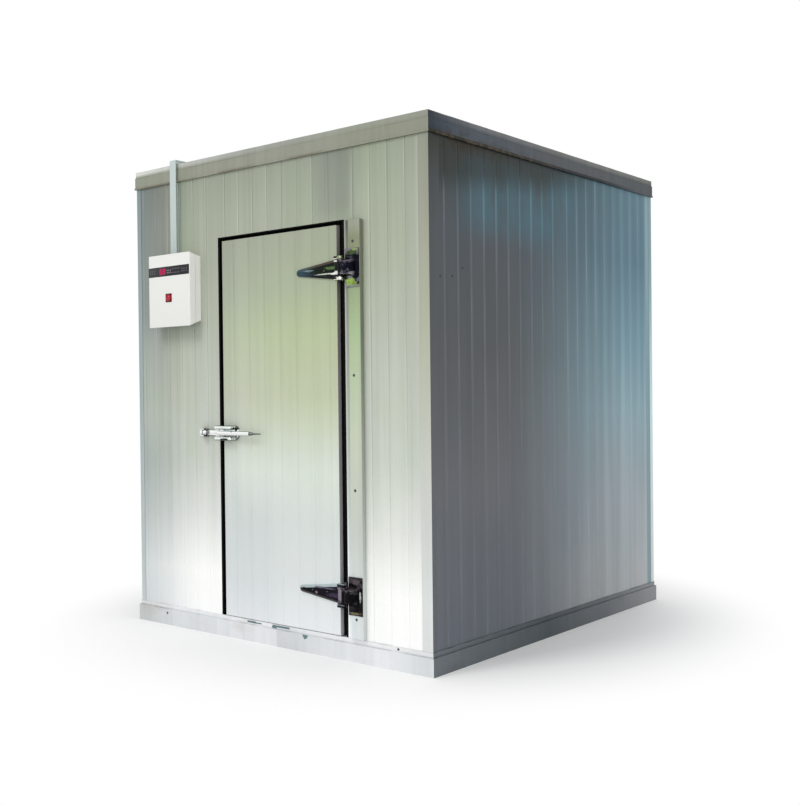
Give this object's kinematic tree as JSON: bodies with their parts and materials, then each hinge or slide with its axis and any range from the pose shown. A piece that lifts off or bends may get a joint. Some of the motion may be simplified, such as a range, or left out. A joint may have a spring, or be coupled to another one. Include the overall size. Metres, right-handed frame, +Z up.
{
  "type": "walk-in cold room",
  "caption": "Small panel-built walk-in cold room with a hinged insulated door, chrome hinges and latch, and a wall control box.",
  "frame": {"origin": "middle of the base's underside, at floor level", "axes": "+Z up, +X right along the door front, +Y back into the room"},
  "size_m": [1.994, 2.183, 2.42],
  "materials": {
    "wall_sheet": "satin",
    "door_sheet": "satin",
    "floor_sheet": "matte",
    "trim_metal": "satin",
    "base_metal": "satin",
    "black_plastic": "matte",
    "gasket_rubber": "matte",
    "hinge_chrome": "polished",
    "latch_chrome": "polished",
    "box_plastic": "satin",
    "display_plastic": "gloss",
    "red_plastic": "gloss"
  },
  "bodies": {
    "room": {"base_channel_front_left": "base_metal", "base_channel_front_right": "base_metal", "base_channel_right": "base_metal", "base_channel_left": "base_metal", "base_channel_back": "base_metal", "floor_panel": "floor_sheet", "front_wall_left": "wall_sheet", "front_wall_right": "wall_sheet", "front_wall_header": "wall_sheet", "right_wall_front_panel": "wall_sheet", "right_wall_back_panel": "wall_sheet", "left_wall_front_panel": "wall_sheet", "left_wall_back_panel": "wall_sheet", "back_wall_left_panel": "wall_sheet", "back_wall_right_panel": "wall_sheet", "roof_front_panel": "wall_sheet", "roof_back_panel": "wall_sheet", "fascia_front": "trim_metal", "fascia_right": "trim_metal", "fascia_left": "trim_metal", "fascia_back": "trim_metal", "corner_trim_front_right": "trim_metal", "corner_trim_front_left": "trim_metal", "corner_trim_back_right": "trim_metal", "corner_trim_back_left": "trim_metal", "door_threshold": "base_metal", "door_frame_left": "black_plastic", "door_frame_right": "black_plastic", "door_frame_head": "black_plastic", "hinge_strip": "base_metal", "hinge_butt_upper": "hinge_chrome", "hinge_butt_lower": "hinge_chrome", "latch_keeper": "latch_chrome", "control_box": "box_plastic", "control_display": "display_plastic", "switch_bezel": "black_plastic", "cable_trunking_riser": "box_plastic", "cable_trunking_roof": "box_plastic"},
    "door": {"door_leaf": "door_sheet", "door_gasket": "gasket_rubber", "hinge_strap_upper": "hinge_chrome", "hinge_strap_lower": "hinge_chrome", "latch_body": "latch_chrome"},
    "handle": {"latch_lever": "latch_chrome"},
    "rocker": {"rocker_switch": "red_plastic"}
  },
  "joints": [
    {"name": "door_hinge", "type": "hinge", "parent": "room", "child": "door", "pos_m": [0.522, -1.093, 0], "axis": [0, 0, 1], "range_deg": [0, 105]},
    {"name": "latch_handle", "type": "hinge", "parent": "door", "child": "handle", "pos_m": [-0.309, -1.085, 1.016], "axis": [0, 0, -1], "range_deg": [0, 45]},
    {"name": "switch_rocker", "type": "hinge", "parent": "room", "child": "rocker", "pos_m": [-0.64, -1.115, 1.705], "axis": [1, 0, 0], "range_deg": [0, 10]}
  ]
}
